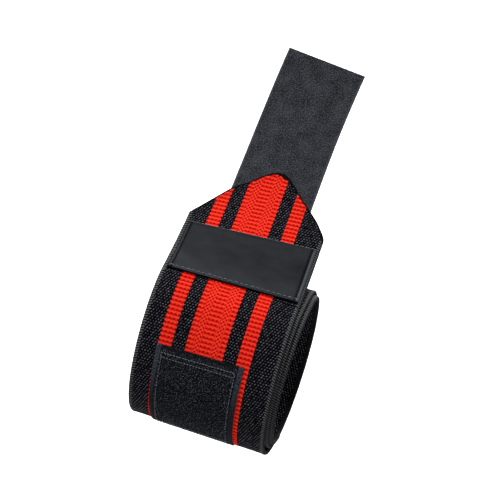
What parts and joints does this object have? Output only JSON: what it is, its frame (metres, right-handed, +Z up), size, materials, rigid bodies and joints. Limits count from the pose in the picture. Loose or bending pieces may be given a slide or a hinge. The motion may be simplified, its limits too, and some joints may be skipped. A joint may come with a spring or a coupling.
{
  "type": "wrist wrap",
  "caption": "Striped elastic wrist wrap wound into an oval sleeve, its pointed end lifted, with a rubber label, a loop patch and a hook tab.",
  "frame": {"origin": "centre of the oval hollow that the wrist fills, halfway across the band where its free end leaves the coil", "axes": "+X along the wrist toward the hand, +Z up, -Y to the front that carries the label"},
  "size_m": [0.0873, 0.0783, 0.2281],
  "materials": {
    "webbing": "black elastic webbing with bright red woven stripes, matt",
    "label_rubber": "dark slate rubber with a soft sheen",
    "loop_tape": "near-black napped loop tape, matt",
    "hook_tape": "charcoal woven nylon tape, matt"
  },
  "bodies": {
    "root": {"elastic_band": "webbing", "label_patch": "label_rubber", "loop_patch": "loop_tape", "hook_tab": "hook_tape"}
  },
  "joints": []
}
